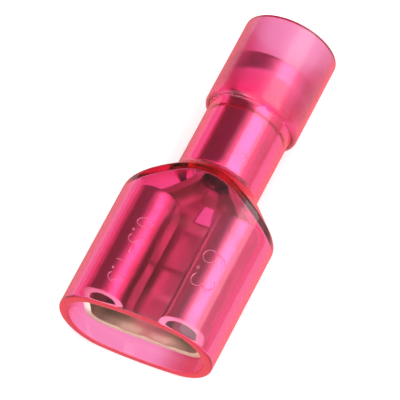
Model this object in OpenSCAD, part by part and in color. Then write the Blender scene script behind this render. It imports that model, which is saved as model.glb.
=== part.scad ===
// Female spade terminal, fully insulated, for a flat tab.
// A see-through nylon housing holds a folded sheet-metal receptacle and a crimp sleeve.
// Local frame: the long axis is Y, the tab goes in at y = 0 and the wire at y = length.

/* [Overall] */
// Length from the mouth to the wire end
length = 21.2; // [20:0.1:26]

/* [Receptacle] */
// Thickness of the folded sheet
sheet = 0.4; // [0.3:0.05:0.45]
// Width over the two curls
receptacle_w = 7.4; // [6.8:0.1:8]
// Height from the underside of the floor to the top of the curls
receptacle_h = 3.75; // [3.2:0.05:4.2]
// Length of the curls
curl_l = 7.3; // [5:0.1:7.4]
// Outer radius of the roll at the top of a curl
roll_r = 1.3; // [1.1:0.05:1.5]
// Outer radius of the bend between the floor and a curl
bend_r = 1.0; // [0.6:0.05:1.2]
// Height of the gap between the floor and the lip of a curl
tab_gap = 0.72; // [0.5:0.02:0.9]
// Depth of the lead-in chamfer on the front edges
lead_in = 0.15; // [0.05:0.05:0.25]
// Length over which the front corner of each lip is cut back
lip_slant = 0.9; // [0.3:0.1:1.5]
// Distance from the mouth of the housing to the front edges
recess = 1.05; // [0.3:0.05:1.2]

/* [Neck] */
// Length of the first part, where the floor is drawn in and up
ramp_l = 0.65; // [0.5:0.05:0.9]
// Length of the second part, up to the wire barrel
neck_l = 2.0; // [1.5:0.05:2.2]
// Width at the curls
neck_w = 7.0; // [6:0.1:7.2]
// Width where the two parts meet
throat_w = 5.9; // [4.4:0.1:6]
// Radius of its lower corners where the two parts meet
throat_r = 1.3; // [0.8:0.05:1.5]
// Height of its walls above the long axis, at the curls
wall_up = 0.0; // [-0.3:0.05:0.4]
// Rise of its walls from the curls to the wire barrel
wall_rise = 0.35; // [0.1:0.05:0.8]
// Width of the window in its floor
window_w = 1.1; // [0.7:0.05:1.4]
// Length of the window
window_l = 1.2; // [0.7:0.05:1.3]
// Distance from the curls to the window
window_set = 0.4; // [0.3:0.05:0.8]
// Height of the stop tongue that is lanced up behind the window
tongue_h = 1.2; // [0.5:0.05:1.4]

/* [Wire barrel] */
// Bore for the bare wire
wire_bore_d = 1.75; // [1.5:0.05:2.2]
// Length of the wire barrel
wire_barrel_l = 5.0; // [4:0.1:5.2]
// Width of the butted seam along its top
seam_w = 0.06; // [0.03:0.01:0.12]

/* [Crimp sleeve] */
// Wall of the sleeve
sleeve_wall = 0.42; // [0.3:0.02:0.5]
// Gap between the wire barrel and the sleeve
sleeve_gap = 0.03; // [0.02:0.01:0.06]
// Bore of the flared end, for the wire's insulation
grip_bore_d = 3.9; // [3.7:0.05:4.4]
// Length of the flared end
grip_l = 1.2; // [0.6:0.1:1.8]
// Distance from the neck to the sleeve
sleeve_setback = 0.1; // [0.05:0.05:0.5]
// Angle of the flare to the long axis
flare_angle = 20; // [17:1:50]

/* [Housing] */
// Wall over and under the receptacle
broad_wall = 0.48; // [0.35:0.01:0.7]
// Wall beside the receptacle
side_wall = 0.6; // [0.4:0.05:0.9]
// Gap over and under the receptacle
height_gap = 0.445; // [0.1:0.005:0.7]
// Gap beside the receptacle
side_gap = 0.45; // [0.1:0.05:0.7]
// Flattening of the round sides: how much smaller their radius is than half the height
flattening = 0.15; // [0.08:0.01:0.5]
// Length of the straight shroud
shroud_l = 8.47; // [8.4:0.05:9.5]
// Angle of the shoulder to the long axis
shoulder_angle = 45; // [40:1:60]
// Wall of the shoulder
shoulder_wall = 0.5; // [0.35:0.05:0.7]
// Radius of the rounded corner between shroud and shoulder
shoulder_r = 1.0; // [0.6:0.1:1.6]
// Radius of the hollow corner between shoulder and barrel
hollow_r = 0.35; // [0.1:0.05:0.6]
// Wall of the round barrel
barrel_wall = 0.765; // [0.5:0.005:1]
// Gap between the sleeve and the housing
bore_gap = 0.05; // [0.02:0.01:0.1]
// Wall of the bell
bell_wall = 0.46; // [0.35:0.01:0.6]
// Distance from the outer corner of the bell to the start of the sleeve's flare
bell_lead = 0.35; // [0.1:0.05:0.8]
// Radius of the outer corner at the foot of the bell
bell_r = 0.27; // [0.1:0.01:0.4]
// Radius of the edge at the wire end
rim_r = 0.1; // [0.05:0.01:0.2]

/* [Hidden] */
$fn = 64;
cut = 0.5; // how far a cutting solid reaches past the face that it cuts
weld = 0.05; // how far joined solids run into each other
drum_over = 0.04; // how far the drum of a shoulder stands out over the shroud's round sides
slice = 0.02; // thickness of the slices that a hull joins
hull_fn = 32;

// Receptacle
front_y = recess;
curl_end_y = front_y + curl_l;
ramp_end_y = curl_end_y + ramp_l;
barrel_y = ramp_end_y + neck_l;
barrel_end_y = barrel_y + wire_barrel_l;
floor_z = -receptacle_h / 2;
lip_z = floor_z + sheet + tab_gap;
roll_z = receptacle_h / 2 - roll_r;
roll_x = receptacle_w / 2 - roll_r;
bend_x = receptacle_w / 2 - bend_r;
bend_z = floor_z + bend_r;
wire_barrel_d = wire_bore_d + 2 * sheet;
throat_z = -wire_barrel_d / 2 - weld;
window_y = curl_end_y + window_set;

// Sleeve
sleeve_bore_d = wire_barrel_d + 2 * sleeve_gap;
sleeve_d = sleeve_bore_d + 2 * sleeve_wall;
grip_d = grip_bore_d + 2 * sleeve_wall;
sleeve_y = barrel_y + sleeve_setback;
flare_y = barrel_end_y - sleeve_wall / 2;
grip_y = flare_y + (grip_d - sleeve_d) / 2 / tan(flare_angle);
sleeve_end_y = grip_y + grip_l;

// Housing
mouth_w = receptacle_w + 2 * side_gap;
mouth_h = receptacle_h + 2 * height_gap;
shroud_w = mouth_w + 2 * side_wall;
shroud_h = mouth_h + 2 * broad_wall;
bore_d = sleeve_d + 2 * bore_gap;
barrel_d = bore_d + 2 * barrel_wall;
bell_bore_d = grip_d + 2 * bore_gap;
bell_d = bell_bore_d + 2 * bell_wall;
bell_y = flare_y - bell_lead;
shoulder_end_y = shroud_l + (shroud_w - barrel_d) / 2 / tan(shoulder_angle);
inner_corner_y = shroud_l
    + (side_wall - shoulder_wall / cos(shoulder_angle)) / tan(shoulder_angle);

// Stands the terminal on its underside, with the middle of its length over the origin.
module placed() {
    translate([0, -length / 2, bell_d / 2]) children();
}

// Runs a section, drawn across (x) and up (y), along the long axis from y0 to y1.
module along(y0, y1) {
    translate([0, y1, 0]) rotate([90, 0, 0]) linear_extrude(y1 - y0) children();
}

// Turns a profile, drawn as distance from the axis (x) and place along it (y).
module turned() {
    rotate([-90, 0, 0]) rotate_extrude() children();
}

// Flat oval of four arcs: two round sides and two gently crowned faces.
module oval(w, h, r) {
    side_x = w / 2 - r;
    crown_r = (side_x * side_x + h * h / 4 - r * r) / (h - 2 * r);
    drop = crown_r - h / 2;
    join_x = side_x * (1 + r / (crown_r - r));
    for (s = [-1, 1]) translate([s * side_x, 0]) circle(r);
    intersection() {
        translate([0, -drop]) circle(crown_r, $fn = 3 * $fn);
        translate([0, drop]) circle(crown_r, $fn = 3 * $fn);
        square([2 * join_x, h], center = true);
    }
}

// Profile of a drum that ends in a cone, with a rounded corner between them.
module shoulder_profile(side_r, cone_y, corner_r, end_r) {
    drum_r = side_r + drum_over;
    corner_y = cone_y - drum_over / tan(shoulder_angle);
    end_y = cone_y + (side_r - end_r) / tan(shoulder_angle);
    run = corner_r * tan(shoulder_angle / 2);
    polygon([
        [0, -cut],
        [drum_r, -cut],
        [drum_r, corner_y - run],
        [drum_r - run * sin(shoulder_angle), corner_y + run * cos(shoulder_angle)],
        [end_r, end_y],
        [0, end_y]
    ]);
    translate([drum_r - corner_r, corner_y - run]) circle(corner_r);
}

// The sliver that fills the hollow corner between the shoulder and the barrel.
module hollow_corner() {
    run = hollow_r * tan(shoulder_angle / 2);
    difference() {
        polygon([
            [barrel_d / 2 - weld, shoulder_end_y - run],
            [barrel_d / 2 + run * sin(shoulder_angle), shoulder_end_y - run * cos(shoulder_angle)],
            [barrel_d / 2, shoulder_end_y + run],
            [barrel_d / 2 - weld, shoulder_end_y + run]
        ]);
        translate([barrel_d / 2 + hollow_r, shoulder_end_y + run]) circle(hollow_r);
    }
}

// What a rounded edge takes off a square corner at the origin that points to -x, -y.
module edge_waste(r) {
    difference() {
        translate([-weld, -weld]) square([r + weld, r + weld]);
        translate([r, r]) circle(r);
    }
}

// Outside of the round barrel and the bell.
module barrel_profile() {
    translate([0, shoulder_end_y - cut])
        square([barrel_d / 2, length - cut - shoulder_end_y]);
    hollow_corner();
    difference() {
        translate([0, bell_y]) square([bell_d / 2, length - bell_y]);
        translate([bell_d / 2, bell_y]) mirror([1, 0]) edge_waste(bell_r);
        translate([bell_d / 2, length]) rotate(180) edge_waste(rim_r);
    }
}

// Profile of a stepped bore: narrow, then a flare, then wide. Each radius stands off
// the outside of the sleeve by the given gap.
module flared_profile(gap, y0, y1) {
    shift = gap * tan(flare_angle / 2);
    polygon([
        [0, y0],
        [sleeve_d / 2 + gap, y0],
        [sleeve_d / 2 + gap, flare_y - shift],
        [grip_d / 2 + gap, grip_y - shift],
        [grip_d / 2 + gap, y1],
        [0, y1]
    ]);
}

module housing_outside() {
    intersection() {
        along(0, shoulder_end_y) oval(shroud_w, shroud_h, shroud_h / 2 - flattening);
        turned() shoulder_profile(shroud_w / 2, shroud_l, shoulder_r, barrel_d / 2);
    }
    turned() barrel_profile();
}

module housing_inside() {
    intersection() {
        along(-cut, shoulder_end_y) oval(mouth_w, mouth_h, mouth_h / 2 - flattening);
        turned() shoulder_profile(mouth_w / 2, inner_corner_y, shoulder_r / 2, bore_d / 2);
    }
    turned() flared_profile(bore_gap, shroud_l, length + cut);
}

module nylon_housing() {
    color([0.96, 0.30, 0.52, 0.55]) placed() difference() {
        housing_outside();
        housing_inside();
    }
}

// A quarter or half bend of the sheet, between two angles.
module bend(r, from, to) {
    intersection() {
        difference() {
            circle(r);
            circle(r - sheet);
        }
        polygon([
            [0, 0],
            for (i = [0:4]) 2 * r * [cos(from + (to - from) * i / 4), sin(from + (to - from) * i / 4)]
        ]);
    }
}

// Section of the right-hand half of the receptacle: floor, bend, side, roll and lip.
module half_section() {
    translate([-weld, floor_z]) square([bend_x + weld, sheet]);
    translate([bend_x, bend_z]) bend(bend_r, -90, 0);
    translate([receptacle_w / 2 - sheet, bend_z]) square([sheet, roll_z - bend_z]);
    translate([roll_x, roll_z]) bend(roll_r, 0, 180);
    translate([roll_x - roll_r, lip_z]) square([sheet, roll_z - lip_z]);
}

// The wedge that the lead-in takes off the upper front edge of the floor.
module lead_in_waste() {
    translate([-receptacle_w / 2, front_y, floor_z + sheet])
        rotate([45, 0, 0])
            translate([0, -lead_in / sqrt(2), -lead_in / sqrt(2)])
                cube([receptacle_w, sqrt(2) * lead_in, sqrt(2) * lead_in]);
}

// The wedge that slants the front corners of the two lips.
module lip_slant_waste() {
    low_z = lip_z - tab_gap / 2;
    translate([-roll_x, 0, 0]) rotate([90, 0, 90]) linear_extrude(2 * roll_x)
        polygon([
            [front_y - cut, low_z],
            [front_y + lip_slant, low_z],
            [front_y, roll_z],
            [front_y - cut, roll_z]
        ]);
}

// One slice of the neck: a trough with a round bottom, standing at y.
module trough_slice(y, w, bottom, top, r) {
    along(y, y + slice) {
        for (s = [-1, 1]) translate([s * (w / 2 - r), bottom + r]) circle(r, $fn = hull_fn);
        translate([-w / 2, bottom + r]) square([w, top - bottom - r]);
    }
}

// The neck's outside (inset 0) or inside (inset = sheet), as two tapered troughs.
module neck_form(inset, over) {
    tall = wall_up + wall_rise;
    mid = wall_up + wall_rise * ramp_l / (ramp_l + neck_l);
    hull() {
        trough_slice(curl_end_y - weld - over, neck_w - 2 * inset, floor_z + inset,
            wall_up + over, bend_r - inset / 2);
        trough_slice(ramp_end_y, throat_w - 2 * inset, throat_z + inset, mid + over,
            throat_r - inset / 2);
    }
    hull() {
        trough_slice(ramp_end_y, throat_w - 2 * inset, throat_z + inset, mid + over,
            throat_r - inset / 2);
        trough_slice(barrel_y + over, wire_barrel_d - 2 * inset, -wire_barrel_d / 2 + inset,
            tall + over, wire_barrel_d / 2 - inset - slice);
    }
}

module neck() {
    difference() {
        neck_form(0, 0);
        neck_form(sheet, weld);
        translate([-window_w / 2, window_y, floor_z - cut])
            cube([window_w, window_l, cut + sheet - floor_z]);
    }
}

// The tongue that is lanced out of the window and bent up, as a stop for the tab.
module stop_tongue() {
    translate([-window_w / 2 + weld, window_y + window_l - sheet / 2, throat_z])
        cube([window_w - 2 * weld, sheet, tongue_h]);
}

module wire_barrel() {
    difference() {
        along(barrel_y, barrel_end_y) circle(d = wire_barrel_d);
        along(barrel_y - cut, barrel_end_y + cut) circle(d = wire_bore_d);
        translate([-seam_w / 2, barrel_y - cut, 0])
            cube([seam_w, wire_barrel_l + 2 * cut, wire_barrel_d]);
    }
}

module receptacle() {
    color([0.78, 0.76, 0.72]) placed() {
        difference() {
            along(front_y, curl_end_y) {
                half_section();
                mirror([1, 0]) half_section();
            }
            lead_in_waste();
            lip_slant_waste();
        }
        neck();
        stop_tongue();
        wire_barrel();
    }
}

module crimp_sleeve() {
    color([0.72, 0.66, 0.62]) placed() difference() {
        turned() flared_profile(0, sleeve_y, sleeve_end_y);
        turned() flared_profile(-sleeve_wall, sleeve_y - cut, sleeve_end_y + cut);
    }
}

nylon_housing();
receptacle();
crimp_sleeve();
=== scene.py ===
# %% [markdown]
# # A see-through spade terminal
# The real object is a small electrical terminal: a moulded pink nylon housing, see-through,
# with a folded tin-plated receptacle in its oval end and a crimp sleeve in its round end.
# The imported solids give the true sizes. This lesson dresses each of them with a finer mesh
# of the same form, with soft edges, and with materials that let the light through.

# %% Load the frame
import math
import bmesh
import bpy
import numpy as np
from mathutils import Matrix, Vector


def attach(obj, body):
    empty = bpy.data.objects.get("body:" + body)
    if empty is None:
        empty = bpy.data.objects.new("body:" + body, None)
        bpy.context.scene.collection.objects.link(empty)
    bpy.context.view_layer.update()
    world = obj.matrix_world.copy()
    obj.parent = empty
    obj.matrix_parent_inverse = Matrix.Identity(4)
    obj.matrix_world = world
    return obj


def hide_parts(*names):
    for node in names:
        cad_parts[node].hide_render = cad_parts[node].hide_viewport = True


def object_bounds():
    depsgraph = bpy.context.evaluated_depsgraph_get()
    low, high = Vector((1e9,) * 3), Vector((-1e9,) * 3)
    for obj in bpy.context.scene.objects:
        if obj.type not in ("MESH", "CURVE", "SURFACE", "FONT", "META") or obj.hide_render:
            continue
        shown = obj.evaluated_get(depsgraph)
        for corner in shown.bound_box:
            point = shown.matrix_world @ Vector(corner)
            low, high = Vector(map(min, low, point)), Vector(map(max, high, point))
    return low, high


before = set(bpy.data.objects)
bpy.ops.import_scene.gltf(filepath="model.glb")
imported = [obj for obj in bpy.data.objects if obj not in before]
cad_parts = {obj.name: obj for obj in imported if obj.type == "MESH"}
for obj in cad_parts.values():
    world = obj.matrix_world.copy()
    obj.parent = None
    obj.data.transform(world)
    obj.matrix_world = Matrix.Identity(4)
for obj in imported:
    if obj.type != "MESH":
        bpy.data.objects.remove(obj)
cad_low, cad_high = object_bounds()
print("solids:", sorted(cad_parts), "box in mm:",
      [round(1000 * (h - l), 2) for l, h in zip(cad_low, cad_high)])

# %% [markdown]
# ## One ruler for all pieces
# All sizes below are in millimetres, measured from the mouth along the long axis (y), and
# from that axis sideways (x) and up (z). One function turns them into the metres of the frame.
# The length and the height of the axis come from the solids, so the two models can't drift apart.

# %% The ruler
MM = 0.001
LENGTH = (cad_high.y - cad_low.y) / MM
AXIS_Z = (cad_high.z - cad_low.z) / MM / 2


def in_frame(points):
    """Points in millimetres from the mouth and the axis, as metres in the frame."""
    p = np.asarray(points, float)
    return np.stack([p[..., 0], p[..., 1] - LENGTH / 2, p[..., 2] + AXIS_Z], -1) * MM


print("length", round(LENGTH, 2), "axis height", round(AXIS_Z, 2))

# %% [markdown]
# ## Rows of points become a skin
# Each piece is drawn as rows of points, and neighbouring rows are joined by four-sided faces.
# A tube could be a cylinder with cuts, but rows let the section change smoothly from an oval
# to a circle, which is just what this moulding does.

# %% The skin helper
def skin(name, rows, ring=True, loop=False, skip=None):
    """A mesh through rows[i][j]. ring closes each row; loop joins the last row to the first."""
    rows = np.asarray(rows, float)
    n, m = rows.shape[:2]
    faces = []
    for i in range(n if loop else n - 1):
        for j in range(m if ring else m - 1):
            if skip is None or not skip(i, j):
                k, l = (i + 1) % n, (j + 1) % m
                faces.append((i * m + j, k * m + j, k * m + l, i * m + l))
    mesh = bpy.data.meshes.new(name)
    mesh.from_pydata([tuple(p) for p in in_frame(rows).reshape(-1, 3)], [], faces)
    mesh.polygons.foreach_set("use_smooth", [True] * len(faces))
    mesh.update()
    piece = bpy.data.objects.new(name, mesh)
    bpy.context.scene.collection.objects.link(piece)
    print(name, "has", len(faces), "faces")
    return piece


def dress(piece, node, material):
    """Puts the piece in the place of its solid, on the one body that there is."""
    piece.data.materials.append(material)
    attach(piece, "root")
    if node:
        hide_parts(node)
    return piece


def places(piece):
    """x, y and z of the points of a piece, in millimetres from the axis and the mouth."""
    flat = np.empty(3 * len(piece.data.vertices))
    piece.data.vertices.foreach_get("co", flat)
    x, y, z = flat.reshape(-1, 3).T / MM
    return x, y + LENGTH / 2, z - AXIS_Z


def paint(piece, name, values):
    """Writes one value for each point of the piece, which a material can read by that name."""
    layer = piece.data.attributes.new(name, "FLOAT", "POINT")
    spread = np.broadcast_to(values, len(piece.data.vertices)).astype(np.float32)
    layer.data.foreach_set("value", spread)


# %% [markdown]
# ## Soft minimum and soft maximum
# Where two smooth forms meet in a moulding, the tool leaves a small radius. Blending the two
# radii with a soft minimum rounds an outer crease, and a soft maximum fills an inner corner.

# %% Soft blends
def soft_min(a, b, k):
    h = np.clip(0.5 + 0.5 * (b - a) / k, 0, 1)
    return b * (1 - h) + a * h - k * h * (1 - h)


def soft_max(a, b, k):
    return -soft_min(-a, -b, k)


def ease(x, x0, x1):
    """0 before x0, 1 after x1, and smooth between them."""
    t = np.clip((x - x0) / (x1 - x0), 0, 1)
    return t * t * (3 - 2 * t)


print("a crease of two equal radii is cut back by", soft_min(1.0, 1.0, 0.2))

# %% [markdown]
# ## The nylon housing
# The shroud is a flat oval of four arcs. Behind it the shoulder is that same oval cut by a cone
# round the long axis, so its edge runs in a curve over the flat faces. Then come the round barrel
# and the bell. The inside follows at the thickness of the wall. One closed skin holds all of it,
# because light must meet the nylon only where the nylon really starts and ends.

# %% Sizes of the housing
HALF_W, HALF_H = 4.75, 2.80
SIDE_WALL, BROAD_WALL = 0.60, 0.48
BARREL_R, BELL_R = 2.54, 2.88
BORE_R, BELL_BORE_R = 1.775, 2.42
CONE_Y, INNER_CONE_Y = 8.47, 8.36
BELL_Y, FLARE_Y, FLARE_ANGLE = 15.44, 15.79, 20
DRUM_OVER = 0.04                                    # the cone starts this far outside the oval
SHOULDER_R, INNER_SHOULDER_R = 1.0, 0.5             # rounded corner where the cone starts
CREASE, HOLLOW, INNER_HOLLOW = 0.10, 0.22, 0.12     # blends where oval, cone and barrel meet
MOUTH_EDGE_R, INNER_MOUTH_EDGE_R = 0.13, 0.10
STEP_R, BELL_CORNER_R = 0.07, 0.27                  # hollow and corner at the foot of the bell
RIM_R, INNER_RIM_R = 0.10, 0.08                     # edges at the wire end
FLARE_BLEND = 0.06
TURN = np.linspace(0, 2 * math.pi, 288, endpoint=False)


def oval(half_w, half_h, flattening=0.15):
    """Distance from the axis to the four-arc oval, for each direction in TURN."""
    r = half_h - flattening
    side_x = half_w - r
    crown_r = (side_x ** 2 + half_h ** 2 - r ** 2) / (2 * (half_h - r))
    drop = crown_r - half_h
    join_x = side_x * (1 + r / (crown_r - r))
    c, s = np.abs(np.cos(TURN)), np.abs(np.sin(TURN))
    crown = -drop * s + np.sqrt(crown_r ** 2 - (drop * c) ** 2)
    side = side_x * c + np.sqrt(np.maximum(r ** 2 - (side_x * s) ** 2, 0))
    return np.where(crown * c < join_x, crown, side)


def ring(y, radius):
    """A row of points round the axis."""
    radius = np.broadcast_to(radius, TURN.shape)
    return np.stack([radius * np.cos(TURN), np.full_like(TURN, y), radius * np.sin(TURN)], -1)


outer_oval = oval(HALF_W, HALF_H)
inner_oval = oval(HALF_W - SIDE_WALL, HALF_H - BROAD_WALL)
print("oval from", round(outer_oval.min(), 2), "to", round(outer_oval.max(), 2), "mm")


# %% [markdown]
# The skin of the housing starts on the edge of the mouth, runs back over the outside, turns over
# the edge of the wire end, and comes forward again through the bore. Rows are close together
# where the form turns, and far apart where it is straight.

# %% The form of the shoulder and the flare
def cone(y, side_r, cone_y, corner_r):
    """Radius of a 45 degree cone that starts at cone_y on a drum, with a rounded corner."""
    drum_r = side_r + DRUM_OVER
    corner_y = cone_y - DRUM_OVER
    run = corner_r * math.tan(math.pi / 8)
    if y < corner_y - run:
        return drum_r
    if y < corner_y + run * math.cos(math.pi / 4):
        return drum_r - corner_r + math.sqrt(corner_r ** 2 - (y - corner_y + run) ** 2)
    return drum_r - (y - corner_y)


def outer_radius(y):
    shoulder = soft_min(outer_oval, cone(y, HALF_W, CONE_Y, SHOULDER_R), CREASE)
    return soft_max(shoulder, np.full_like(TURN, BARREL_R), HOLLOW)


def inner_radius(y):
    slope = cone(y, HALF_W - SIDE_WALL, INNER_CONE_Y, INNER_SHOULDER_R)
    return soft_max(soft_min(inner_oval, slope, CREASE), np.full_like(TURN, BORE_R), INNER_HOLLOW)


def flare(y, narrow, wide):
    """Radius of the flare between two bores, with soft ends."""
    slope = narrow + (y - FLARE_Y) * math.tan(math.radians(FLARE_ANGLE))
    return float(soft_min(soft_max(np.array(slope), narrow, FLARE_BLEND), wide, FLARE_BLEND))


def corner(y, r, size, start, end, steps=6):
    """Points (y, r) on a rounded corner of that size round the centre (y, r)."""
    return [(y + size * math.cos(a), r + size * math.sin(a))
            for a in np.radians(np.linspace(start, end, steps))]


print("radius on the side of the shoulder at y = 9:", round(float(outer_radius(9.0)[0]), 2), "mm")

# %% The rows of the housing
rows = [ring(MOUTH_EDGE_R * (1 - math.cos(a)), outer_oval - MOUTH_EDGE_R * (1 - math.sin(a)))
        for a in np.linspace(0, math.pi / 2, 7)]
rows += [ring(y, outer_radius(y)) for y in np.linspace(0.4, 7.6, 14)]
rows += [ring(y, outer_radius(y)) for y in np.linspace(7.65, 11.2, 76)]
rows += [ring(y, BARREL_R) for y in np.linspace(11.5, 15.2, 10)]
rows += [ring(y, r) for y, r in corner(BELL_Y - STEP_R, BARREL_R + STEP_R, STEP_R, -90, 0, 4)]
rows += [ring(y, r) for y, r in corner(BELL_Y + BELL_CORNER_R, BELL_R - BELL_CORNER_R,
                                       BELL_CORNER_R, 180, 90, 9)]
rows += [ring(y, BELL_R) for y in np.linspace(16.2, 20.9, 12)]
rows += [ring(y, r) for y, r in corner(LENGTH - RIM_R, BELL_R - RIM_R, RIM_R, 90, 0, 6)]
outer_rows = len(rows) - 2                          # the last two already lie on the edge
rows += [ring(y, r) for y, r in corner(LENGTH - INNER_RIM_R, BELL_BORE_R + INNER_RIM_R,
                                       INNER_RIM_R, 0, -90, 5)]
rows += [ring(y, BELL_BORE_R) for y in np.linspace(20.8, 17.9, 8)]
rows += [ring(y, flare(y, BORE_R, BELL_BORE_R)) for y in np.linspace(17.75, 15.6, 22)]
rows += [ring(y, BORE_R) for y in np.linspace(15.3, 11.2, 9)]
rows += [ring(y, inner_radius(y)) for y in np.linspace(11.05, 7.7, 70)]
rows += [ring(y, inner_radius(y)) for y in np.linspace(7.3, 0.4, 12)]
rows += [ring(INNER_MOUTH_EDGE_R * (1 - math.sin(a)), inner_oval + INNER_MOUTH_EDGE_R * (1 - math.cos(a)))
         for a in np.linspace(0, math.pi / 2, 6)]
housing = skin("housing_moulding", rows, loop=True)

# %% [markdown]
# ## The folded receptacle
# The real piece is one strip of sheet metal. Its edges are rolled over to the middle, and press
# on the tab that is pushed in under them. Behind them the strip narrows to a trough, and ends as
# a tube for the wire. It is drawn as the middle layer of the sheet, in rows, and the Solidify
# modifier gives it its thickness. A Bevel then breaks the edges, as the stamping tool does.

# %% Sizes of the receptacle
SHEET = 0.4
FRONT_Y, CURL_END_Y, TUBE_Y, TUBE_END_Y = 1.05, 8.35, 11.0, 16.0
FLOOR_Z, BEND_R, ROLL_R = -1.675, 0.8, 1.1
SIDE_X, ROLL_Z, LIP_Z = 3.5, 0.575, -0.755
TUBE_R = 1.075
NECK_EDGE_Z = 0.0
LIP_SLANT = 0.75                                    # how far the lip's front corner is cut back
LEAD_L, PAD_H = 0.55, 0.12                          # worked front edge; raised pad in the floor


def trough(s, half_w, floor_z, bend_r):
    """Point of a half section at distance s along the sheet: floor, bend, then straight up."""
    flat, turn = half_w - bend_r, bend_r * math.pi / 2
    if s < flat:
        return s, floor_z
    if s < flat + turn:
        a = (s - flat) / bend_r
        return flat + bend_r * math.sin(a), floor_z + bend_r * (1 - math.cos(a))
    return half_w, floor_z + bend_r + s - flat - turn


SIDE_S = SIDE_X - BEND_R + BEND_R * math.pi / 2
ROLL_S = SIDE_S + ROLL_Z - FLOOR_Z - BEND_R
LIP_S = ROLL_S + math.pi * ROLL_R
END_S = LIP_S + ROLL_Z - LIP_Z
NECK_S = SIDE_S + NECK_EDGE_Z - FLOOR_Z - BEND_R


def curl_section(s):
    """The same for a curl: the side runs into a roll, and the roll into the lip."""
    if s < ROLL_S:
        return trough(s, SIDE_X, FLOOR_Z, BEND_R)
    if s < LIP_S:
        a = (s - ROLL_S) / ROLL_R
        return SIDE_X - ROLL_R + ROLL_R * math.cos(a), ROLL_Z + ROLL_R * math.sin(a)
    return SIDE_X - 2 * ROLL_R, ROLL_Z - (s - LIP_S)


half = np.concatenate([
    np.linspace(0, 0.66, 4)[:-1], np.linspace(0.66, SIDE_X - BEND_R, 9)[:-1],
    np.linspace(SIDE_X - BEND_R, SIDE_S, 9)[:-1], np.linspace(SIDE_S, NECK_S, 5)[:-1],
    np.linspace(NECK_S, ROLL_S, 4)[:-1], np.linspace(ROLL_S, LIP_S, 27)[:-1],
    np.linspace(LIP_S, END_S, 8)])
strip = np.concatenate([-half[:0:-1], half])
print("the flat strip is", round(2 * END_S, 2), "mm wide before it is folded")


# %% [markdown]
# The curls are one section all along, apart from three small things: a pad is pressed up in the
# middle of the floor to hold the tab, the front edge dips and waves a little where it was
# sheared, and the front corners of the lips are cut back so that they don't catch.

# %% The rows of the curls
def curl_row(y):
    row = []
    for s in strip:
        x, z = curl_section(abs(s))
        lead = 1 - ease(y, FRONT_Y, FRONT_Y + LEAD_L)
        if abs(s) < SIDE_S:
            pad = ease(y, 3.45, 3.8) * (1 - ease(y, 5.2, 5.55)) * (1 - ease(abs(x), 0.9, 1.5))
            wave = 0.05 * math.cos(2.6 * x + 0.6) + 0.03 * math.cos(7.1 * x)
            z += PAD_H * pad + lead * (-0.10 + wave) * (1 - ease(abs(x), 1.9, 3.0))
        elif abs(s) > ROLL_S:
            turned = min(abs(s) - ROLL_S, math.pi * ROLL_R) / ROLL_R
            x -= 0.05 * lead * math.cos(turned + math.pi)
        slant = LIP_SLANT * max(abs(s) - LIP_S, 0) / (END_S - LIP_S)
        back = y + slant * (CURL_END_Y - y) / (CURL_END_Y - FRONT_Y)
        row.append((math.copysign(x, s) if s else x, back, z))
    return row


stations = np.concatenate([np.linspace(FRONT_Y, 1.7, 8), np.linspace(1.9, 3.3, 6),
                           np.linspace(3.4, 5.7, 16), np.linspace(6.0, CURL_END_Y, 10)])
curls = skin("curls", [curl_row(y) for y in stations], ring=False)

# %% [markdown]
# Behind the curls the sheet is drawn in to a trough that gets narrower, and the trough closes to
# the tube for the wire. A table of stations along y gives its width, floor, top edge and bend,
# and the rows between them are interpolated. The window is simply faces that are left out.

# %% The rows of the neck
NECK_Y = [8.35, 8.62, 8.95, 9.4, 10.2, 10.75, 11.0]
NECK_HALF_W = [3.5, 3.24, 2.88, 2.34, 1.58, 1.2, TUBE_R]
NECK_FLOOR = [-1.675, -1.47, -1.17, -1.08, -1.075, -1.075, -1.075]
NECK_TOP = [0.0, 0.0, 0.02, 0.05, 0.12, 0.24, 0.35]
NECK_BEND = [0.8, 0.95, 1.05, 1.1, 1.1, 1.1, 1.1]
WINDOW_Y = (8.75, 9.95)
WINDOW_COLUMNS = 3                                  # faces left out on each side of the middle
CLOSE_Y = 10.2                                      # from here the walls close in to the tube
neck_strip = strip[np.abs(strip) <= NECK_S + 1e-6]


def neck_row(y):
    half_w, floor_z, top, bend_r = (np.interp(y, NECK_Y, v)
                                    for v in (NECK_HALF_W, NECK_FLOOR, NECK_TOP, NECK_BEND))
    bend_r = min(bend_r, half_w)
    length = half_w - bend_r + bend_r * math.pi / 2 + max(top - floor_z - bend_r, 0)
    row = []
    for s in neck_strip:
        x, z = trough(abs(s) / NECK_S * length, half_w, floor_z, bend_r)
        if y > CLOSE_Y:
            a = abs(s) / NECK_S * math.acos(-NECK_TOP[-1] / TUBE_R)
            t = ease(y, CLOSE_Y, TUBE_Y)
            x = (1 - t) * x + t * TUBE_R * math.sin(a)
            z = (1 - t) * z - t * TUBE_R * math.cos(a)
        row.append((math.copysign(x, s) if s else x, y, z))
    return row


neck_stations = np.concatenate([np.linspace(CURL_END_Y, WINDOW_Y[0], 5)[:-1],
                                np.linspace(*WINDOW_Y, 9)[:-1],
                                np.linspace(WINDOW_Y[1], TUBE_Y, 10)])
middle = (len(neck_strip) - 1) // 2


def in_window(i, j):
    return 4 <= i < 12 and middle - WINDOW_COLUMNS <= j < middle + WINDOW_COLUMNS


neck = skin("neck", [neck_row(y) for y in neck_stations], ring=False, skip=in_window)

# %% [markdown]
# The tube is the same sheet rolled until its edges meet at the top. The stop tongue is the metal
# of the window, still joined at the back, bent up so that the tab can't go too far.

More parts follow.
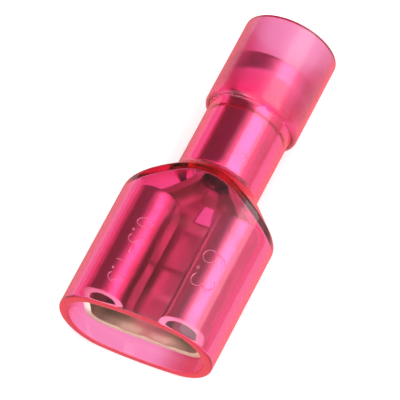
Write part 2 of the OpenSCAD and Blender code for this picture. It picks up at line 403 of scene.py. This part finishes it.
# %% The wire barrel and the stop tongue
SEAM = 0.03                                         # half the gap of the seam, as an angle
TONGUE_H, TONGUE_HALF_W = 1.2, 0.46
tube_turn = np.linspace(-math.pi + SEAM, math.pi - SEAM, 73)
tube_rows = [[(TUBE_R * math.sin(a), y, -TUBE_R * math.cos(a)) for a in tube_turn]
             for y in np.linspace(TUBE_Y, TUBE_END_Y, 18)]
tube = skin("wire_barrel", tube_rows, ring=False)

tongue_rows = []
for t in np.linspace(0, 1, 9):
    y = WINDOW_Y[1] + 0.05 + 0.25 * math.sin(t * 1.4) - 0.12 * t
    z = NECK_FLOOR[-1] + TONGUE_H * t
    width = TONGUE_HALF_W * math.sqrt(max(1 - max((t - 0.6) / 0.42, 0) ** 2, 0.02))
    tongue_rows.append([(width * u, y, z) for u in np.linspace(-1, 1, 9)])
tongue = skin("stop_tongue", tongue_rows, ring=False)

# %% [markdown]
# ## One sheet
# The three blocks share their border points, so they are joined and the doubled points merged.
# The modifiers then work on the whole strip.

# %% Join and thicken
EDGE_BREAK = 0.07
sheet_mesh = bmesh.new()
for block in (curls, neck, tube, tongue):
    sheet_mesh.from_mesh(block.data)
    bpy.data.objects.remove(block)
bmesh.ops.remove_doubles(sheet_mesh, verts=sheet_mesh.verts, dist=0.004 * MM)
receptacle_mesh = bpy.data.meshes.new("folded_receptacle")
sheet_mesh.to_mesh(receptacle_mesh)
sheet_mesh.free()
receptacle = bpy.data.objects.new("folded_receptacle", receptacle_mesh)
bpy.context.scene.collection.objects.link(receptacle)
thick = receptacle.modifiers.new("sheet", "SOLIDIFY")
thick.thickness = SHEET * MM
thick.offset = 0
thick.use_even_offset = True
edges = receptacle.modifiers.new("broken_edges", "BEVEL")
edges.width = EDGE_BREAK * MM
edges.segments = 2
edges.limit_method = "ANGLE"
edges.angle_limit = math.radians(50)
print("the strip has", len(receptacle_mesh.polygons), "faces before it is thickened")

# %% [markdown]
# ## The crimp sleeve
# A drawn copper tube, tinned, sits over the wire barrel and opens into a flare that will grip
# the insulation of the wire. It is round all over, so one profile is turned about the axis.

# %% The sleeve
SLEEVE_R, SLEEVE_WALL, GRIP_R = 1.725, 0.42, 2.37
SLEEVE_Y, SLEEVE_END_Y = 11.1, 18.76
GRIP_BORE_R = GRIP_R - SLEEVE_WALL
FLARE_LAG = 0.07                                    # keeps the wall's thickness on the slope
profile = [(SLEEVE_Y, SLEEVE_R - SLEEVE_WALL + 0.08)]
profile += corner(SLEEVE_Y + 0.12, SLEEVE_R - 0.12, 0.12, 180, 90, 6)
profile += [(y, SLEEVE_R) for y in np.linspace(11.6, 15.6, 8)]
profile += [(y, flare(y, SLEEVE_R, GRIP_R)) for y in np.linspace(15.65, 17.75, 15)]
profile += [(18.0, GRIP_R), (18.3, GRIP_R), (18.55, GRIP_R)]
profile += corner(SLEEVE_END_Y - 0.10, GRIP_R - 0.10, 0.10, 90, 0, 5)
profile += corner(SLEEVE_END_Y - 0.10, GRIP_BORE_R + 0.10, 0.10, 0, -90, 5)
profile += [(18.3, GRIP_BORE_R), (18.0, GRIP_BORE_R)]
profile += [(y, flare(y - FLARE_LAG, SLEEVE_R, GRIP_R) - SLEEVE_WALL)
            for y in np.linspace(17.8, 15.7, 12)]
profile += [(y, SLEEVE_R - SLEEVE_WALL) for y in np.linspace(15.3, 11.3, 7)]
sleeve_rows = [ring(y, r) for y, r in profile]
sleeve = skin("drawn_sleeve", sleeve_rows, loop=True)

# %% [markdown]
# ## Marks on the flat face
# Such mouldings carry small raised figures for the wire and the tab, cut into the mould with a
# thin round cutter. A printed font would be too fat, so each figure is a path that the cutter
# runs, and a thin bead follows the path over the crowned face.

# %% The figures as cutter paths
def arc(x, y, rx, ry, start, end, steps=12):
    return [(x + rx * math.cos(a), y + ry * math.sin(a))
            for a in np.radians(np.linspace(start, end, steps))]


FIGURES = {
    "0": [arc(0.32, 0.5, 0.30, 0.5, 0, 360, 24)],
    "1": [[(0.10, 0.74), (0.26, 0.86), (0.36, 1.0), (0.36, 0.0)]],
    "3": [arc(0.28, 0.75, 0.24, 0.25, 150, -80),
          arc(0.26, 0.26, 0.30, 0.26, 80, -150)],
    "5": [[(0.56, 1.0), (0.14, 1.0), (0.08, 0.52)] + arc(0.28, 0.31, 0.29, 0.31, 130, -140, 14)],
    "6": [arc(0.62, 0.30, 0.60, 0.72, 105, 180, 10) + arc(0.31, 0.28, 0.29, 0.28, 180, 520, 20)],
    ".": [arc(0.1, 0.05, 0.05, 0.05, 0, 360, 8)],
    "-": [[(0.05, 0.46), (0.45, 0.46)]],
}
ADVANCE = {".": 0.34, "-": 0.66}
BEAD = 0.030
CROWN_R = 23.4
print("figures:", " ".join(FIGURES))


# %% [markdown]
# The broad face is crowned, and rounds off towards the sides. Each path is bent to one flat arc
# over it, and the curve's own round bevel makes the bead. Then the curve is turned into a mesh.
# The arc follows the crown only near its middle: the beads stand off the face further out.

# %% Lay the figures on the face
def raised_figures(name, words, x, y, size):
    """Figures that read towards the mouth, with their tops to +x, as beads on the crowned face."""
    curve = bpy.data.curves.new(name, "CURVE")
    curve.dimensions = "3D"
    curve.bevel_depth = BEAD * MM
    curve.bevel_resolution = 2
    along = 0
    for letter in words:
        for stroke in FIGURES[letter]:
            path = [(x + size * (v - 0.5), y - size * (along + u)) for u, v in stroke]
            points = [(px, py, HALF_H - CROWN_R + math.sqrt(CROWN_R ** 2 - px ** 2))
                      for px, py in path]
            spline = curve.splines.new("POLY")
            spline.points.add(len(points) - 1)
            for knot, place in zip(spline.points, in_frame(points)):
                knot.co = (*[float(c) for c in place], 1)
        along += ADVANCE.get(letter, 0.86)
    holder = bpy.data.objects.new(name + "_paths", curve)
    bpy.context.scene.collection.objects.link(holder)
    bpy.context.view_layer.update()
    depsgraph = bpy.context.evaluated_depsgraph_get()
    mesh = bpy.data.meshes.new_from_object(holder.evaluated_get(depsgraph))
    bpy.data.objects.remove(holder)
    mesh.polygons.foreach_set("use_smooth", [True] * len(mesh.polygons))
    figures = bpy.data.objects.new(name, mesh)
    bpy.context.scene.collection.objects.link(figures)
    paint(figures, "outside", 1.0)
    print(name, "is", round(size * along, 2), "mm long")
    return figures


wire_figures = raised_figures("wire_figures", "0.5-1.5", -1.78, 5.95, 0.98)
tab_figures = raised_figures("tab_figures", "6.3", 2.80, 5.5, 1.40)

# %% [markdown]
# ## Nylon that the light goes through
# Dyed nylon is clear where it is thin and deep red where the light goes a long way in it. So the
# colour is in two places: the surface is glass with a tint that deepens where it is seen
# edge-on, and an absorbing volume takes out green and blue along the way. Real nylon is also a
# little cloudy, which shows on edges and flanks, so a plain red surface is mixed in there. A
# flat pink glass would miss both. Moulded faces are never quite flat: a slow ripple in the
# normal and a little haze in the roughness make them look moulded.

# %% Small helpers for materials
def nodes_of(material):
    material.use_nodes = True
    return material.node_tree.nodes, material.node_tree.links


def painted(nodes, name):
    """The value that was painted on the piece by that name."""
    value = nodes.new("ShaderNodeAttribute")
    value.attribute_name = name
    return value


def calculate(nodes, operation, second=None):
    """A Math node, with its second value set where one is given."""
    result = nodes.new("ShaderNodeMath")
    result.operation = operation
    if second is not None:
        result.inputs[1].default_value = second
    return result


def ramp(nodes, start, first, end, last):
    """A colour ramp from one colour at start to another at end."""
    colours = nodes.new("ShaderNodeValToRGB")
    low_end, high_end = colours.color_ramp.elements
    low_end.position, low_end.color = start, (*first, 1)
    high_end.position, high_end.color = end, (*last, 1)
    return colours


print("helpers:", nodes_of.__name__, painted.__name__, calculate.__name__, ramp.__name__)


# %% The nylon
def see_through(name, clear, deep, cloud, cloud_at, density):
    """Dyed nylon: tints seen straight on and edge-on, colour and shares of the cloud, dye."""
    material = bpy.data.materials.new(name)
    n, l = nodes_of(material)
    output, glass = n["Material Output"], n["Principled BSDF"]
    glass.inputs["Transmission Weight"].default_value = 1.0
    glass.inputs["IOR"].default_value = 1.50
    glass.inputs["Specular IOR Level"].default_value = 0.3
    body = n.new("ShaderNodeBsdfPrincipled")
    body.inputs["Base Color"].default_value = (*cloud, 1)
    body.inputs["Roughness"].default_value = 0.4
    body.inputs["Specular IOR Level"].default_value = 0.05
    dye = n.new("ShaderNodeVolumeAbsorption")
    dye.inputs["Color"].default_value = (1.0, 0.10, 0.52, 1)
    dye.inputs["Density"].default_value = density
    mix = n.new("ShaderNodeMixShader")

    # the tint deepens towards the flanks
    facing = n.new("ShaderNodeLayerWeight")
    facing.inputs["Blend"].default_value = 0.5
    tint = ramp(n, 0.25, clear, 0.92, deep)
    l.new(facing.outputs["Facing"], tint.inputs["Fac"])
    l.new(tint.outputs["Color"], glass.inputs["Base Color"])

    # ripple and haze of a moulded face
    place = n.new("ShaderNodeTexCoord")
    ripple = n.new("ShaderNodeTexNoise")
    ripple.inputs["Scale"].default_value = 420
    ripple.inputs["Detail"].default_value = 2
    haze = n.new("ShaderNodeMapRange")
    haze.inputs["To Min"].default_value = 0.05
    haze.inputs["To Max"].default_value = 0.12
    dull = calculate(n, "ADD")
    bump = n.new("ShaderNodeBump")
    bump.inputs["Strength"].default_value = 0.12
    bump.inputs["Distance"].default_value = 0.00003
    l.new(place.outputs["Object"], ripple.inputs["Vector"])
    l.new(ripple.outputs["Fac"], haze.inputs["Value"])
    l.new(haze.outputs["Result"], dull.inputs[0])
    l.new(painted(n, "frost").outputs["Fac"], dull.inputs[1])
    l.new(dull.outputs["Value"], glass.inputs["Roughness"])
    l.new(ripple.outputs["Fac"], bump.inputs["Height"])
    l.new(bump.outputs["Normal"], glass.inputs["Normal"])

    # the cloud's share: on flanks of the outside, on cut edges, and as painted shade on the lower wall in
    # the mouth
    share = ramp(n, 0.52, [cloud_at[0]] * 3, 0.86, [cloud_at[1]] * 3)
    on_flank = calculate(n, "MULTIPLY")
    most = calculate(n, "MAXIMUM")
    l.new(facing.outputs["Facing"], share.inputs["Fac"])
    l.new(share.outputs["Color"], on_flank.inputs[0])
    l.new(painted(n, "outside").outputs["Fac"], on_flank.inputs[1])
    l.new(on_flank.outputs["Value"], most.inputs[0])
    l.new(painted(n, "cut_edge_and_shade").outputs["Fac"], most.inputs[1])
    l.new(most.outputs["Value"], mix.inputs["Fac"])
    l.new(glass.outputs["BSDF"], mix.inputs[1])
    l.new(body.outputs["BSDF"], mix.inputs[2])
    l.new(mix.outputs["Shader"], output.inputs["Surface"])
    l.new(dye.outputs["Volume"], output.inputs["Volume"])
    return material


nylon = see_through("pink_nylon", clear=(1.0, 0.40, 0.66), deep=(1.0, 0.05, 0.12),
                    cloud=(0.72, 0.03, 0.06), cloud_at=(0.0, 0.95), density=900)
raised_nylon = see_through("raised_nylon", clear=(1.0, 0.6, 0.8), deep=(1.0, 0.3, 0.4),
                           cloud=(1.0, 0.34, 0.52), cloud_at=(0.16, 0.45), density=0)
print("nylon materials:", nylon.name, raised_nylon.name)

# %% [markdown]
# ## Tin plating
# Both metal pieces are plated with tin: silvery, a little warm, with fine lines along the way the
# sheet was rolled or the tube drawn, and small dull patches. Both use one node group for that.

# %% The plating group
plating = bpy.data.node_groups.new("tin_plating", "ShaderNodeTree")
for label, kind, value in (("Bright", "NodeSocketColor", (0.86, 0.84, 0.80, 1)),
                           ("Dull", "NodeSocketColor", (0.62, 0.58, 0.53, 1)),
                           ("Shade And Tan Color", "NodeSocketColor", (0.62, 0.44, 0.34, 1)),
                           ("Shade And Tan", "NodeSocketFloat", 0.0),
                           ("Line Scale", "NodeSocketFloat", 9000.0),
                           ("Roughness Low", "NodeSocketFloat", 0.16),
                           ("Roughness High", "NodeSocketFloat", 0.34)):
    plating.interface.new_socket(label, in_out="INPUT", socket_type=kind).default_value = value
plating.interface.new_socket("Color", in_out="OUTPUT", socket_type="NodeSocketColor")
plating.interface.new_socket("Roughness", in_out="OUTPUT", socket_type="NodeSocketFloat")
plating.interface.new_socket("Height", in_out="OUTPUT", socket_type="NodeSocketFloat")
pn, pl = plating.nodes, plating.links
given, result = pn.new("NodeGroupInput"), pn.new("NodeGroupOutput")

# lines along the way the sheet was rolled, and patches
where = pn.new("ShaderNodeTexCoord")
stretch = pn.new("ShaderNodeMapping")
stretch.inputs["Scale"].default_value = (1, 0.02, 1)
lines = pn.new("ShaderNodeTexNoise")
lines.inputs["Detail"].default_value = 3
patches = pn.new("ShaderNodeTexNoise")
patches.inputs["Scale"].default_value = 900
patches.inputs["Detail"].default_value = 4
contrast = pn.new("ShaderNodeMapRange")
contrast.inputs["From Min"].default_value = 0.42
contrast.inputs["From Max"].default_value = 0.68
pl.new(where.outputs["Object"], stretch.inputs["Vector"])
pl.new(stretch.outputs["Vector"], lines.inputs["Vector"])
pl.new(given.outputs["Line Scale"], lines.inputs["Scale"])
pl.new(lines.outputs["Fac"], result.inputs["Height"])
pl.new(where.outputs["Object"], patches.inputs["Vector"])
pl.new(patches.outputs["Fac"], contrast.inputs["Value"])

# colour: bright or dull, then made browner and darker where the shade and tan are painted
colours = pn.new("ShaderNodeMix")
colours.data_type = "RGBA"
tanned_and_shaded = pn.new("ShaderNodeMix")
tanned_and_shaded.data_type = "RGBA"
pl.new(contrast.outputs["Result"], colours.inputs["Factor"])
pl.new(given.outputs["Bright"], colours.inputs["A"])
pl.new(given.outputs["Dull"], colours.inputs["B"])
pl.new(given.outputs["Shade And Tan"], tanned_and_shaded.inputs["Factor"])
pl.new(colours.outputs["Result"], tanned_and_shaded.inputs["A"])
pl.new(given.outputs["Shade And Tan Color"], tanned_and_shaded.inputs["B"])
pl.new(tanned_and_shaded.outputs["Result"], result.inputs["Color"])

# roughness: by the patches, and more where the shade and tan are painted
rough = pn.new("ShaderNodeMapRange")
duller = calculate(pn, "MULTIPLY_ADD", 0.22)
pl.new(contrast.outputs["Result"], rough.inputs["Value"])
pl.new(given.outputs["Roughness Low"], rough.inputs["To Min"])
pl.new(given.outputs["Roughness High"], rough.inputs["To Max"])
pl.new(given.outputs["Shade And Tan"], duller.inputs[0])
pl.new(rough.outputs["Result"], duller.inputs[2])
pl.new(duller.outputs["Value"], result.inputs["Roughness"])
print("plating group inputs:", [i.name for i in plating.interface.items_tree if i.in_out == "INPUT"])


# %% [markdown]
# Three metals use the group. The sheet is matt from rolling and folding. Its sheared edges show
# rough bare metal, paler and hardly a mirror. The drawn tube is the smoothest.

# %% Three metals
def plated(name, bright, dull, line_scale, low, high):
    material = bpy.data.materials.new(name)
    n, l = nodes_of(material)
    bsdf = n["Principled BSDF"]
    bsdf.inputs["Metallic"].default_value = 1.0
    group = n.new("ShaderNodeGroup")
    group.node_tree = plating
    group.inputs["Bright"].default_value = (*bright, 1)
    group.inputs["Dull"].default_value = (*dull, 1)
    group.inputs["Line Scale"].default_value = line_scale
    group.inputs["Roughness Low"].default_value = low
    group.inputs["Roughness High"].default_value = high
    relief = n.new("ShaderNodeBump")
    relief.inputs["Strength"].default_value = 0.3
    relief.inputs["Distance"].default_value = 0.00001
    l.new(painted(n, "shade_and_tan").outputs["Fac"], group.inputs["Shade And Tan"])
    l.new(group.outputs["Color"], bsdf.inputs["Base Color"])
    l.new(group.outputs["Roughness"], bsdf.inputs["Roughness"])
    l.new(group.outputs["Height"], relief.inputs["Height"])
    l.new(relief.outputs["Normal"], bsdf.inputs["Normal"])
    return material


tinned_sheet = plated("tinned_sheet", (0.80, 0.74, 0.66), (0.68, 0.61, 0.52), 9000, 0.28, 0.38)
sheared_edge = plated("sheared_edge", (0.95, 0.90, 0.80), (0.88, 0.80, 0.70), 9000, 0.50, 0.65)
sheared_edge.node_tree.nodes["Principled BSDF"].inputs["Metallic"].default_value = 0.35
tinned_tube = plated("tinned_tube", (0.84, 0.80, 0.77), (0.74, 0.70, 0.66), 12000, 0.20, 0.28)
print("metals:", tinned_sheet.name, sheared_edge.name, tinned_tube.name)

# %% [markdown]
# ## Where a material changes over a piece
# One moulding isn't equally clear all over. Its cut edges are cloudy, the lower wall inside the mouth is
# made deeper red towards the right as painted shade, and the bore of the bell is frosted. The metal is
# browner and darker at the front of the mouth, and darker and browner in the floor and the neck trough as
# painted shade.
# Values painted on the points tell the materials where, which needs no image and no seams.

# %% Dress the solids
dress(housing, "nylon_housing", nylon)
x, y, z = places(housing)
radius = np.hypot(x, z)
on_rim = (y < 0.05) | (y > LENGTH - 0.04)
# painted shade: the lower wall inside the mouth takes more of the red cloud towards the right (+x),
# standing in for the shade there; the rims are the real cloudy cut edges
lower_wall = (y < 2) & (radius < 4.2) & (z < -1.2)
cut_edge_and_shade = np.maximum(0.6 * on_rim, 0.55 * ease(x, 0.5, 3.0) * lower_wall)
paint(housing, "cut_edge_and_shade", cut_edge_and_shade)
paint(housing, "frost", np.where(radius < BELL_R - 0.2,
                                 0.36 * ease(y, 15.6, 17.0), 0.10 * ease(y, 15.0, 16.5)))
paint(housing, "outside", np.where(np.arange(len(y)) < outer_rows * len(TURN), 1.0, 0.15))

dress(receptacle, "receptacle", tinned_sheet)
receptacle.data.materials.append(sheared_edge)
thick.material_offset_rim = 1
x, y, z = places(receptacle)
# painted shade: the floor under the curls and the neck trough are made darker and browner; in_mouth makes
# the metal at the front of the mouth browner and darker
in_mouth = (1 - ease(y, 1.5, 3.4)) * (1 - ease(z, -1.3, -0.4))
on_floor = 0.6 * (1 - ease(z, -1.6, -1.2))
in_neck = 0.8 * (1 - ease(y, 10.6, 11.2))
paint(receptacle, "shade_and_tan", np.maximum(in_mouth, np.where(y < 8.4, on_floor, in_neck)))

dress(sleeve, "crimp_sleeve", tinned_tube)
dress(wire_figures, None, raised_nylon)
dress(tab_figures, None, raised_nylon)
print("cloudy points:", int((cut_edge_and_shade > 0).sum()))
print("pieces:", [p.name for p in (housing, receptacle, sleeve, wire_figures, tab_figures)])

# %% [markdown]
# ## Floor, light and camera
# The terminal lies on a white table under a large soft lamp, with a smaller one in front.
# Polished tin shows what is around it, so the room has a light side and a dim side, and the white
# floor. The room's colour changes only with direction, and plain white is put where the camera
# itself would see the room.

# %% The floor
HALF_TABLE = 1.2
CORNERS = ((-1, -1), (1, -1), (1, 1), (-1, 1))
floor_mesh = bpy.data.meshes.new("table_top")
floor_mesh.from_pydata([(a * HALF_TABLE, b * HALF_TABLE, 0) for a, b in CORNERS], [], [(0, 1, 2, 3)])
floor = bpy.data.objects.new("table_top", floor_mesh)
floor.location.z = cad_low.z
bpy.context.scene.collection.objects.link(floor)
white = bpy.data.materials.new("white_table")
nodes, links = nodes_of(white)
top = nodes["Principled BSDF"]
top.inputs["Base Color"].default_value = (0.93, 0.93, 0.93, 1)
top.inputs["Roughness"].default_value = 0.9
top.inputs["Specular IOR Level"].default_value = 0.1
top.inputs["Emission Color"].default_value = (1, 1, 1, 1)
ray = nodes.new("ShaderNodeLightPath")
backdrop = calculate(nodes, "MULTIPLY", 0.24)
through = calculate(nodes, "MAXIMUM")
plain_white = nodes.new("ShaderNodeEmission")
plain_white.inputs["Strength"].default_value = 1.0
either = nodes.new("ShaderNodeMixShader")
links.new(ray.outputs["Is Camera Ray"], backdrop.inputs[0])
links.new(backdrop.outputs["Value"], top.inputs["Emission Strength"])
links.new(ray.outputs["Is Transmission Ray"], through.inputs[0])
links.new(ray.outputs["Is Glossy Ray"], through.inputs[1])
links.new(through.outputs["Value"], either.inputs["Fac"])
links.new(top.outputs["BSDF"], either.inputs[1])
links.new(plain_white.outputs["Emission"], either.inputs[2])
links.new(either.outputs["Shader"], nodes["Material Output"].inputs["Surface"])
floor.data.materials.append(white)
print("table top at", round(floor.location.z / MM, 3), "mm")

# %% [markdown]
# The dim side of the room is behind the terminal on the left. It gives the bands that run along
# the curls and the barrel, which is how the eye knows that they are round and made of metal.

# %% The room and the lamps
LIGHT_SIDE = (0.639, -0.767, 0.064)
world = bpy.data.worlds.new("studio")
bpy.context.scene.world = world
world.use_nodes = True
nodes, links = world.node_tree.nodes, world.node_tree.links
direction = nodes.new("ShaderNodeTexCoord")
side = nodes.new("ShaderNodeVectorMath")
side.operation = "DOT_PRODUCT"
side.inputs[1].default_value = LIGHT_SIDE
half_range = nodes.new("ShaderNodeMapRange")
half_range.inputs["From Min"].default_value = -1
glow = ramp(nodes, 0.30, (0.25, 0.22, 0.20), 0.39, (1.45, 1.45, 1.45))
ray = nodes.new("ShaderNodeLightPath")
seen = nodes.new("ShaderNodeMix")
seen.data_type = "RGBA"
seen.inputs["B"].default_value = (1, 1, 1, 1)
links.new(direction.outputs["Generated"], side.inputs[0])
links.new(side.outputs["Value"], half_range.inputs["Value"])
links.new(half_range.outputs["Result"], glow.inputs["Fac"])
links.new(ray.outputs["Is Camera Ray"], seen.inputs["Factor"])
links.new(glow.outputs["Color"], seen.inputs["A"])
links.new(seen.outputs["Result"], nodes["Background"].inputs["Color"])
nodes["Background"].inputs["Strength"].default_value = 1.0


def softbox(name, place, target, size, power):
    lamp = bpy.data.lights.new(name, "AREA")
    lamp.shape = "RECTANGLE"
    lamp.size, lamp.size_y = size
    lamp.energy = power
    box = bpy.data.objects.new(name, lamp)
    box.location = place
    box.rotation_euler = (Vector(target) - Vector(place)).to_track_quat("-Z", "Y").to_euler()
    bpy.context.scene.collection.objects.link(box)
    return box


softbox("key", (0.26, 0.14, 0.30), (0, 0, 0), (0.30, 0.30), 0.7)
softbox("front", (-0.06, -0.30, 0.15), (0, 0, 0), (0.20, 0.09), 0.35)
print("room and lamps are in place")

# %% [markdown]
# ## The camera
# A long lens from far off keeps the sides of the shroud almost parallel. The camera stands over
# the mouth end, to its right, and leans a little.

# %% The camera
AZIMUTH, ELEVATION, ROLL = math.radians(30.956), math.radians(58.019), math.radians(-7.056)
DISTANCE, VIEW_W = 270.9, 22.7739                   # mm from the target; width seen there, in mm
LOOK_Y, SHIFT_RIGHT, SHIFT_UP = 10.6, 0.813, 0.603  # where it looks, in mm from the mouth
back = np.array([math.sin(AZIMUTH) * math.cos(ELEVATION),
                 -math.cos(AZIMUTH) * math.cos(ELEVATION), math.sin(ELEVATION)])
level = np.array([math.cos(AZIMUTH), math.sin(AZIMUTH), 0])
upward = np.cross(back, level)
right = math.cos(ROLL) * level + math.sin(ROLL) * upward
up = -math.sin(ROLL) * level + math.cos(ROLL) * upward
target = np.array([0, LOOK_Y, 0]) - SHIFT_RIGHT * right - SHIFT_UP * up
eye = target + DISTANCE * back
lens = bpy.data.cameras.new("long_lens")
lens.sensor_width = 36
lens.lens = lens.sensor_width * DISTANCE / VIEW_W
lens.clip_start, lens.clip_end = 0.01, 10
camera = bpy.data.objects.new("camera", lens)
camera.matrix_world = Matrix([(*[float(v[i]) for v in (right, up, back)], float(in_frame(eye)[i]))
                              for i in range(3)] + [(0, 0, 0, 1)])
bpy.context.scene.collection.objects.link(camera)
bpy.context.scene.camera = camera
bpy.context.scene.view_settings.view_transform = "Standard"
print("lens", round(lens.lens, 1), "mm")
